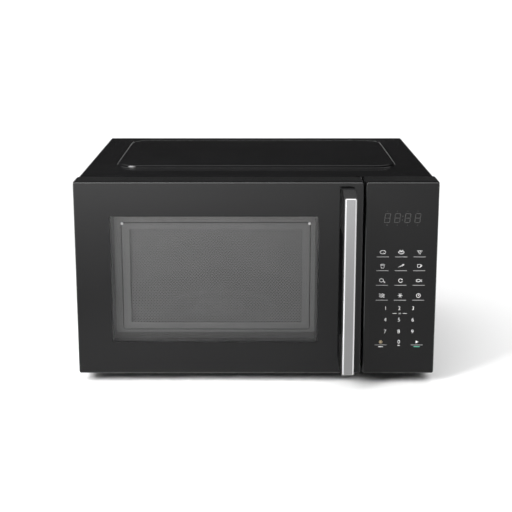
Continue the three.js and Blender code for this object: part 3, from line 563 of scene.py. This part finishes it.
def plain_material(name, colour, roughness=0.45):
    """Printing ink or paint of one colour, for marks too small to show a grain."""
    material, _, shader, _ = new_material(name)
    shader.inputs["Base Color"].default_value = (*colour, 1)
    shader.inputs["Roughness"].default_value = roughness
    return material


def wave(x, z, width, height, count=17, turns=1.5):
    """Points along a sine wave centred on (x, z)."""
    return [(x - width / 2 + width * i / (count - 1),
             z + height * math.sin(2 * math.pi * turns * i / (count - 1))) for i in range(count)]


class Ink:
    """Draws thin raised lines and dots on the control panel. Points are in millimetres about a centre."""

    def __init__(self, bm, x, z, scale=1.0):
        self.bm, self.x, self.z, self.y, self.scale = bm, x, z, LEGEND_Y, scale

    def place(self, points):
        unit = MM * self.scale
        return [(self.x + a * unit, self.z + b * unit) for a, b in points]

    def line(self, points, width=0.55, closed=False):
        strip(self.bm, self.place(points), width * MM, self.y, closed=closed)

    def fill(self, points):
        solid_patch(self.bm, self.place(points), self.y, 0.00004)

    def dot(self, a, b, radius):
        self.fill(ellipse(a, b, radius, radius, 12))


def icon_potato(ink):
    ink.line(ellipse(0, 0, 3.2, 2.0), closed=True)
    for a, b in ((-1.2, 0.5), (0.6, -0.6), (1.4, 0.6)):
        ink.dot(a, b, 0.3)


def icon_pasta(ink):
    ink.line(ellipse(0, 0.4, 3.2, 2.4, 14, 180, 180))
    ink.line([(-3.2, 0.4), (3.2, 0.4)])
    ink.line(wave(0, 1.5, 4.4, 0.5))


def icon_pizza(ink):
    ink.line([(-2.8, 1.6), (2.8, 1.6), (0, -2.4)], closed=True)
    for a, b in ((-0.9, 0.7), (0.9, 0.7), (0, -0.6)):
        ink.dot(a, b, 0.38)


def icon_popcorn(ink):
    ink.line([(-2.0, 0.6), (-1.4, -2.4), (1.4, -2.4), (2.0, 0.6)], closed=True)
    for a in (-1.4, 0, 1.4):
        ink.line(ellipse(a, 1.4, 0.8, 0.8, 12), 0.35, closed=True)


def icon_carrot(ink):
    ink.line([(-2.9, -1.4), (1.4, 1.3), (2.0, 0.1)], closed=True)
    for end in ((3.1, 2.2), (3.4, 1.1), (2.2, 2.5)):
        ink.line([(1.7, 0.8), end])


def icon_cup(ink):
    ink.line([(-2.2, 1.7), (-1.8, -1.6), (1.2, -1.6), (1.6, 1.7)], closed=True)
    ink.line(ellipse(1.6, 0.3, 1.3, 0.9, 10, -90, 180))


def icon_meat(ink):
    ink.line(ellipse(-0.8, 0.3, 2.2, 1.9), closed=True)
    ink.line([(0.9, -0.9), (2.6, -1.9)])
    ink.dot(2.9, -1.7, 0.5)
    ink.dot(2.6, -2.2, 0.5)


def icon_reheat(ink):
    ink.line(ellipse(0, 0, 2.1, 2.1, 18, 60, 290))
    ink.fill([(1.9, 2.2), (2.3, 0.5), (0.7, 1.1)])


def icon_fish(ink):
    ink.line(ellipse(-0.6, 0, 2.4, 1.5), closed=True)
    ink.line([(1.7, 0), (3.2, 1.4), (3.2, -1.4)], closed=True)
    ink.dot(-1.9, 0.3, 0.28)


def icon_waves(ink):
    for b in (-1.6, 0, 1.6):
        ink.line(wave(0, b, 6.0, 0.5, turns=2))


def icon_snowflake(ink):
    for angle in (0, 60, 120):
        c, s = math.cos(math.radians(angle)), math.sin(math.radians(angle))
        ink.line([(-2.3 * c, -2.3 * s), (2.3 * c, 2.3 * s)])
        for end in (-1, 1):
            ink.dot(end * 2.3 * c, end * 2.3 * s, 0.38)


def icon_clock(ink):
    ink.line(ellipse(0, 0, 2.2, 2.2), closed=True)
    ink.line([(0, 1.3), (0, 0), (1.0, -0.4)])


ICONS = (
    (icon_potato, icon_pasta, icon_pizza),
    (icon_popcorn, icon_carrot, icon_cup),
    (icon_meat, icon_reheat, icon_fish),
    (icon_waves, icon_snowflake, icon_clock),
)


def key_icons():
    """The keys' pictures, and the marks between the first two rows of digits."""
    white = plain_material("legend_white", (0.9, 0.9, 0.9))

    def build(bm):
        for row, z in zip(ICONS, ICON_ROWS):
            for draw, x in zip(row, COLUMNS):
                draw(Ink(bm, x, z, scale=1.2))
        last = Ink(bm, COLUMNS[1], LAST_ROW)
        last.line([(-1.6, -4.4), (1.6, -4.4)], 0.7)
        quick = Ink(bm, COLUMNS[1], (DIGIT_ROWS[0] + DIGIT_ROWS[1]) / 2 + 0.0010)
        for a in (-1.1, 0.7):
            quick.line([(a, 0.9), (a + 1.1, 0), (a, -0.9)], 0.4)
        for side in (-1, 1):
            quick.line([(side * 4.2, 0), (side * 9.5, 0)], 0.4)
    piece(mesh_object("key_icons", build), "oven", "panel_glass", white)


def key_underlines():
    """The grey line under each key's picture."""
    grey = plain_material("legend_grey", (0.36, 0.36, 0.36))

    def build(bm):
        for z in ICON_ROWS:
            for x in COLUMNS:
                Ink(bm, x, z - 0.0065).line([(-8, 0), (8, 0)], 0.7)
        for x in (COLUMNS[0], COLUMNS[2]):
            Ink(bm, x, LAST_ROW - 0.0037).line([(-8, 0), (8, 0)], 0.6)
    piece(mesh_object("key_underlines", build), "oven", "panel_glass", grey)


def start_and_stop():
    """The two keys beside the 0."""
    stop = plain_material("legend_amber", (0.62, 0.5, 0.3))
    start = plain_material("legend_green", (0.1, 0.42, 0.3))
    white = bpy.data.materials["legend_white"]

    def stop_mark(bm):
        ink = Ink(bm, COLUMNS[0], LAST_ROW + 0.0006)
        ink.line(ellipse(0, 0, 2.1, 2.1, 8, 22.5), 0.5, closed=True)
        ink.fill([(-0.9, -0.9), (0.9, -0.9), (0.9, 0.9), (-0.9, 0.9)])

    def white_marks(bm):
        play = Ink(bm, COLUMNS[2], LAST_ROW + 0.0006)
        play.fill([(-1.5, -2.0), (2.3, 0), (-1.5, 2.0)])
        Ink(bm, COLUMNS[0], LAST_ROW - 0.0062).line([(-3, 0), (3, 0)], 1.0)

    def start_mark(bm):
        Ink(bm, COLUMNS[2], LAST_ROW - 0.0062).line([(-4, 0), (4, 0)], 1.0)
    piece(mesh_object("stop_mark", stop_mark), "oven", "panel_glass", stop)
    piece(mesh_object("play_mark", white_marks), "oven", "panel_glass", white)
    piece(mesh_object("start_mark", start_mark), "oven", "panel_glass", start)


def key_digits():
    """The digits 1 to 9 and 0, as meshes from Blender's own plain typeface."""
    white = bpy.data.materials["legend_white"]
    height = 0.0074
    places = {str(3 * row + column + 1): (DIGIT_COLUMNS[column], DIGIT_ROWS[row])
              for row in range(3) for column in range(3)}
    places["0"] = (COLUMNS[1], LAST_ROW + 0.0005)
    for digit, (x, z) in places.items():
        curve = bpy.data.curves.new(f"digit_{digit}", "FONT")
        curve.body = digit
        curve.size = height
        curve.align_x = "CENTER"
        curve.align_y = "CENTER"
        curve.extrude = 0.00002
        curve.offset = -0.0001
        curve.resolution_u = 4
        text = bpy.data.objects.new(f"digit_{digit}_text", curve)
        bpy.context.scene.collection.objects.link(text)
        graph = bpy.context.evaluated_depsgraph_get()
        data = bpy.data.meshes.new_from_object(text.evaluated_get(graph))
        bpy.data.objects.remove(text)
        data.transform(Matrix.Translation((x, LEGEND_Y, z)) @ Matrix.Rotation(math.pi / 2, 4, "X"))
        data.materials.clear()
        obj = bpy.data.objects.new(f"digit_{digit}", data)
        bpy.context.scene.collection.objects.link(obj)
        piece(obj, "oven", "panel_glass", white)


def display_digits():
    """The unlit segments of the clock, drawn as faint marks on the front of the panel's glass."""
    low, high = 0.2246, 0.2367
    lefts = (0.1690, 0.1822, 0.1957, 0.2090)
    width, bar = 0.0078, 0.001
    slant = 0.11
    raised = 0.00005
    unlit = plain_material("display_unlit", (0.042, 0.042, 0.041), 0.5)

    def lean(x, z):
        return (x + (z - low) * slant, z)

    def segment(bm, a, b):
        """A bar from a to b with pointed ends, leaning with the digit."""
        a, b = Vector(a), Vector(b)
        along = (b - a).normalized()
        side = Vector((-along.y, along.x)) * bar / 2
        a, b = a + along * bar * 0.16, b - along * bar * 0.16
        tip = along * bar / 2
        outline = [a, a + tip + side, b - tip + side, b, b - tip - side, a + tip - side]
        solid_patch(bm, [lean(p.x, p.y) for p in outline], LEGEND_Y, raised)

    def build(bm):
        middle = (low + high) / 2
        for left in lefts:
            right = left + width - bar
            corners = [(x, z) for z in (low, middle, high) for x in (left, right)]
            for one, other in ((0, 1), (2, 3), (4, 5), (0, 2), (2, 4), (1, 3), (3, 5)):
                segment(bm, corners[one], corners[other])
        colon = (lefts[1] + width + lefts[2]) / 2 - 0.0004
        for z in (middle - 0.0024, middle + 0.0024):
            solid_patch(bm, [lean(*p) for p in circle_points(colon, z, 0.0007, 12)], LEGEND_Y, raised)
        for left in lefts:
            pilot = 0.0009 if left == lefts[0] else 0.0005
            for z, radius in ((high + 0.0034, 0.0005), (low - 0.0036, pilot)):
                solid_patch(bm, circle_points(left + 0.004, z, radius, 10), LEGEND_Y, raised)
    piece(mesh_object("display_digits", build), "oven", "panel_glass", unlit)


def panel_pane():
    """The control panel's glass, printed black all over."""
    obj = glass_slab("panel_pane", PANEL_GLASS)
    piece(obj, "oven", "panel_glass", replaces=("panel_glass",))
    obj.data.materials.append(GLASS_EDGE)


# ---- Case ----------------------------------------------------------------------------------------

RIM = CASE[1].z - 0.0035  # the flat rim round the raised panel
BEND = 0.005  # radius of the bend from top to side
PANEL = (-0.197, 0.197, FRONT_Y + 0.107, FRONT_Y + 0.342)  # its left, right, front and back
SHEET = 0.0007


def case_skin(bm):
    """Top and sides as one bent sheet. The raised panel's sides are steep at the foot and round over."""
    (x0, y0, z0), (x1, y1, z1) = CASE
    slope = 0.0042
    steps = 10

    def level(t, z):
        """The raised panel's outline at a share t of the way up its slope."""
        grow = slope * (0.5 - t)  # the slope is steeper in front and gentler at the back
        outline = rounded_outline(
            PANEL[0] - grow, PANEL[1] + grow, PANEL[2] - grow * 0.45, PANEL[3] + grow * 2.6,
            0.030 + grow, corner_steps=12)
        return [(x, y, z) for x, y in outline]
    flat = rounded_outline(x0 + BEND, x1 - BEND, y0, y1, 1e-5, corner_steps=12)
    rings = [[(x, y, RIM) for x, y in flat], level(0, RIM)]
    for step in range(1, steps + 1):
        t = step / steps
        rings.append(level(t, z1 - (z1 - RIM) * (1 - t) ** 2.6))
    made = loft(bm, rings, caps=False)
    bm.faces.new(made[-1])
    bend_steps = 8
    for side in (-1, 1):
        edge = x1 if side > 0 else -x0
        profile = [(edge - BEND + BEND * math.sin(math.radians(90 * i / bend_steps)),
                    RIM - BEND + BEND * math.cos(math.radians(90 * i / bend_steps)))
                   for i in range(bend_steps + 1)] + [(edge, z0)]
        rows = [[bm.verts.new((side * x, y, z)) for x, z in profile] for y in (y0, y1)]
        for i in range(len(profile) - 1):
            bm.faces.new((rows[0][i], rows[0][i + 1], rows[1][i + 1], rows[1][i]))
    bmesh.ops.remove_doubles(bm, verts=bm.verts, dist=5e-5)


def side_slots(bm):
    """Cutters for the cooling slots, as rounded bars through both sides."""
    length, height, pitch = 0.034, 0.003, 0.009
    # Side, first y, first z and number of slots.
    groups = ((1, FRONT_Y + 0.250, 0.060, 9), (1, FRONT_Y + 0.300, 0.060, 9),
              (-1, FRONT_Y + 0.285, 0.190, 6), (-1, FRONT_Y + 0.330, 0.190, 6))
    for side, y, z, count in groups:
        for i in range(count):
            outline = rounded_outline(y, y + length, z + i * pitch, z + i * pitch + height, height / 2, 5)
            loft(bm, [[(side * x, a, b) for a, b in outline] for x in (0.236, 0.245)])


def case_lips(bm):
    """The inturned edges at the front and the back of the case."""
    (x0, y0, z0), (_, y1, _) = CASE
    for y, width in ((y0 + SHEET * 1.2, 0.006), (y1 - SHEET * 1.2, 0.012)):
        outer = [(x0 + SHEET, z0), (x0 + SHEET, RIM - BEND)]
        outer += [(x0 + BEND + (BEND - SHEET) * math.cos(math.radians(a)),
                   RIM - BEND + (BEND - SHEET) * math.sin(math.radians(a))) for a in range(165, 89, -15)]
        inner = [(x0 + width, z0), (x0 + width, RIM - width)]
        inner += [inner[-1]] * (len(outer) - len(inner))
        outer += [(-x, z) for x, z in reversed(outer)]
        inner += [(-x, z) for x, z in reversed(inner)]
        front, back = y - SHEET / 2, y + SHEET / 2
        around = ((outer, front), (inner, front), (inner, back), (outer, back))
        sheets = [[bm.verts.new((x, depth, z)) for x, z in points] for points, depth in around]
        for one, other in zip(sheets, sheets[1:] + sheets[:1]):
            for i in range(len(one) - 1):
                bm.faces.new((one[i], one[i + 1], other[i + 1], other[i]))
        for end in (0, -1):
            bm.faces.new([sheet[end] for sheet in sheets])
    bmesh.ops.remove_doubles(bm, verts=bm.verts, dist=1e-6)


def case_shell():
    """The case with its real sheet thickness, its slots cut through, and its lips."""
    skin = mesh_object("case_shell", case_skin)
    thicken = skin.modifiers.new("thickness", "SOLIDIFY")
    thicken.thickness = SHEET
    thicken.offset = -1
    slots = mesh_object("slot_cutters", side_slots)
    cutting = skin.modifiers.new("slots", "BOOLEAN")
    cutting.operation = "DIFFERENCE"
    cutting.solver = "EXACT"
    cutting.object = slots
    apply_modifiers(skin)
    bpy.data.objects.remove(slots)
    finish_normals(skin, 35)
    piece(skin, "oven", "case_enamel", replaces=("outer_case",))
    piece(mesh_object("case_lips", case_lips), "oven", "case_enamel")


def pan_head(bm, place, normal, radius):
    """A domed screw head with a cross recess, sitting on place and facing along normal."""
    turn = Vector((0, 0, 1)).rotation_difference(Vector(normal)).to_matrix().to_4x4()
    move = Matrix.Translation(place) @ turn
    steps, sides = 5, 24
    top = radius * 0.42
    arm, half = radius * 0.55, radius * 0.13  # the recess's arms
    cross = []
    for quarter in range(4):
        c, s = math.cos(quarter * math.pi / 2), math.sin(quarter * math.pi / 2)
        for a, b in ((arm, -half), (arm, half), (half, half)):
            cross.append((a * c - b * s, a * s + b * c))
    rings = []
    for step in range(steps):
        angle = math.radians(70 * step / (steps - 1))
        reach = radius * (1 - 0.28 * (1 - math.cos(angle)))
        rings.append([move @ Vector((a, b, top * math.sin(angle)))
                      for a, b in circle_points(0, 0, reach, sides)])
    made = loft(bm, rings, caps=False)
    bm.faces.new(made[0])
    rim = [bm.verts.new(move @ Vector((a, b, top))) for a, b in cross]
    floor = [bm.verts.new(move @ Vector((a * 0.8, b * 0.8, top * 0.35))) for a, b in cross]
    outer = made[-1]
    for i in range(len(cross)):
        j = (i + 1) % len(cross)
        k = 2 * i
        bm.faces.new((rim[i], rim[j], floor[j], floor[i]))
        bm.faces.new((outer[k], outer[k + 1], outer[(k + 2) % sides], rim[j], rim[i]))
    bm.faces.new(floor)


def case_screws():
    """The screws that hold the case to the back."""
    y = CASE[1].y
    head = 0.0036

    def build(bm):
        for x, z in ((-0.232, 0.200), (0.232, 0.200), (0, 0.270), (-0.235, 0.060), (0.235, 0.060)):
            pan_head(bm, (x, y - 0.0001, z), (0, 1, 0), head)
    piece(mesh_object("case_screws", build), "oven", "zinc_steel")


# ---- Oven cavity ---------------------------------------------------------------------------------

def cavity_shell():
    """The oven's inside: a drawn box with rounded corners, slots for the lamp and for steam."""
    (x0, y0, z0), (x1, y1, z1) = LINER
    corner = 0.012
    rect = (x0, x1, z0, z1)

    def skin(bm):
        rings = [facing_ring(rect, 0, y0, corner), facing_ring(rect, 0, y1 - corner, corner)]
        steps = 6
        for step in range(1, steps + 1):
            angle = math.radians(90 * step / steps)
            inset = corner * (1 - math.cos(angle)) * 0.98
            rings.append(facing_ring(rect, inset, y1 - corner + corner * math.sin(angle), corner))
        made = loft(bm, rings, caps=False)
        bm.faces.new(made[-1])

    def slots(bm):
        for first_y, z, count, x, reach in ((FRONT_Y + 0.102, 0.214, 4, x1, 0.016),
                                            (FRONT_Y + 0.280, 0.200, 8, x0, 0.016)):
            for i in range(count):
                y = first_y + i * 0.006
                outline = rounded_outline(y, y + 0.003, z, z + reach, 0.0014, 4)
                loft(bm, [[(x + side * 0.003, a, b) for a, b in outline] for side in (-1, 1)])
    shell = mesh_object("cavity_shell", skin)
    thicken = shell.modifiers.new("thickness", "SOLIDIFY")
    thicken.thickness = SHEET
    thicken.offset = -1
    cutters = mesh_object("cavity_cutters", slots)
    cutting = shell.modifiers.new("slots", "BOOLEAN")
    cutting.operation = "DIFFERENCE"
    cutting.solver = "EXACT"
    cutting.object = cutters
    apply_modifiers(shell)
    bpy.data.objects.remove(cutters)
    finish_normals(shell, 35)
    piece(shell, "oven", "cavity_enamel", replaces=("cavity_liner",))


def tray():
    """The glass tray: a shallow dish with a rolled rim, raised rings and three driving lugs below."""
    (x0, y0, z0), (x1, y1, z1) = TRAY
    cx, cy = (x0 + x1) / 2, (y0 + y1) / 2
    under = z0 + 0.005  # underside of the dish
    radius = (x1 - x0) / 2
    top = z1
    face = under + 0.0045  # its flat upper face
    dish = radius - 0.020  # where its side starts to rise
    lug_place = 0.021
    lug = ((0.0034, z0), (0.0043, z0 + 0.0009), (0.0045, under - 0.00002))

    # Radius and height of each ring of points, from the middle of the upper face round to the underside.
    profile = []
    for ring in range(3):
        r = 0.040 + ring * 0.026
        profile += [(r - 0.0015, face), (r, face + 0.0007), (r + 0.0015, face)]
    profile += [(dish, face), (dish + 0.006, face + 0.0017), (radius - 0.0045, top - 0.0012),
                (radius - 0.0022, top), (radius - 0.0006, top - 0.0006), (radius, top - 0.0022),
                (radius - 0.0008, top - 0.0040), (dish + 0.008, under + 0.0024), (dish, under)]

    def turned(bm, x, y, outline, sides):
        loft(bm, [[(px, py, z) for px, py in circle_points(x, y, r, sides)] for r, z in outline])

    def build(bm):
        turned(bm, cx, cy, profile, 96)
        for x, y in ellipse(cx, cy, lug_place, lug_place, 3, start=90):
            turned(bm, x, y, lug, 24)
    obj = mesh_object("tray_glass", build, smooth_angle=50)
    piece(obj, "tray", "clear_glass", replaces=("glass_tray",))


# ---- Floor, light and camera ---------------------------------------------------------------------

def studio():
    """A wide pale floor under a soft overhead dome, with three soft lamps in front on the left."""
    size = 60

    def build(bm):
        bm.faces.new([bm.verts.new(p) for p in (
            (-size, -size, 0), (size, -size, 0), (size, size, 0), (-size, size, 0))])
    floor = mesh_object("floor", build)
    material, _, shader, _ = new_material("floor")
    shader.inputs["Base Color"].default_value = (0.92, 0.92, 0.92, 1)
    shader.inputs["Roughness"].default_value = 0.9
    shader.inputs["Specular IOR Level"].default_value = 0.0
    floor.data.materials.append(material)
    dome()
    lamp("left_lamp", (-0.9, -0.75, 0.5), (-0.15, 0, 0.16), 0.7, 0.4, 0.4)
    lamp("window_lamp", (-0.5, -0.55, 0.5), (-0.14, -0.15, 0.2), 1.8, 0.5, 0.5, spread=50)
    lamp("floor_lamp", (-0.55, -1.8, 1.6), (-0.5, -1.75, 0), 22, 1.0, 0.7, spread=90)


def dome():
    """A soft box overhead, a dark band below it and a pale horizon. The backdrop itself is pale."""
    world = bpy.data.worlds.new("studio")
    bpy.context.scene.world = world
    world.use_nodes = True
    tree = world.node_tree
    tree.nodes.clear()
    coords = tree.nodes.new("ShaderNodeTexCoord")
    split = tree.nodes.new("ShaderNodeSeparateXYZ")
    height = tree.nodes.new("ShaderNodeValToRGB")
    height.color_ramp.interpolation = "EASE"
    # Height above the horizon, and the light that comes from there.
    stops = ((0.0, 0.6), (0.04, 0.6), (0.08, 0.02), (0.5, 0.04), (0.8, 2.0))
    for _ in stops[2:]:
        height.color_ramp.elements.new(0.5)
    for stop, (place, light) in zip(height.color_ramp.elements, stops):
        stop.position = place
        stop.color = (light, light, light, 1)
    lit = tree.nodes.new("ShaderNodeBackground")
    backdrop = tree.nodes.new("ShaderNodeBackground")
    backdrop.inputs["Color"].default_value = (0.97, 0.97, 0.97, 1)
    path = tree.nodes.new("ShaderNodeLightPath")
    mix = tree.nodes.new("ShaderNodeMixShader")
    output = tree.nodes.new("ShaderNodeOutputWorld")
    tree.links.new(coords.outputs["Generated"], split.inputs[0])
    tree.links.new(split.outputs["Z"], height.inputs["Fac"])
    tree.links.new(height.outputs["Color"], lit.inputs["Color"])
    tree.links.new(path.outputs["Is Camera Ray"], mix.inputs["Fac"])
    tree.links.new(lit.outputs["Background"], mix.inputs[1])
    tree.links.new(backdrop.outputs["Background"], mix.inputs[2])
    tree.links.new(mix.outputs["Shader"], output.inputs["Surface"])


def lamp(name, place, aim, power, size_x, size_y, spread=180):
    """A rectangular lamp that faces aim. Power is in watts, and spread is in degrees."""
    data = bpy.data.lights.new(name, "AREA")
    data.shape = "RECTANGLE"
    data.size = size_x
    data.size_y = size_y
    data.energy = power
    data.spread = math.radians(spread)
    obj = bpy.data.objects.new(name, data)
    obj.location = place
    obj.rotation_euler = (Vector(aim) - Vector(place)).to_track_quat("-Z", "Y").to_euler()
    bpy.context.scene.collection.objects.link(obj)


def camera():
    """Stands straight in front of the oven and above it, and looks slightly down."""
    distance = 1.400
    height = 0.537
    side = -0.0003
    pitch = 12.17
    data = bpy.data.cameras.new("camera")
    data.sensor_width = 36
    data.lens = 76.6
    data.shift_y = -0.1
    data.clip_start = 0.01
    obj = bpy.data.objects.new("camera", data)
    front_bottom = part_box("door_frame")[0].z
    obj.location = (side, FRONT_Y - distance, front_bottom + height)
    obj.rotation_euler = (math.radians(90 - pitch), 0, 0)
    bpy.context.scene.collection.objects.link(obj)
    bpy.context.scene.camera = obj


bpy.context.scene.view_settings.view_transform = "Standard"
camera()
dress_nodes()
door_pane()
screen()
window_surround()
softened("door_frame", "door_shell", "door", "black_plastic", 0.0006)
softened("choke_cover", "door_gasket", "door", "black_plastic", 0.0004)
softened("handle_body", "handle_core", "door", "handle_plastic", 0.0005)
handle_bar()
spring_coil()
panel_pane()
softened("panel_housing", "panel_shell", "oven", "black_plastic", 0.0006)
key_icons()
key_underlines()
start_and_stop()
key_digits()
display_digits()
case_shell()
case_screws()
cavity_shell()
tray()
studio()
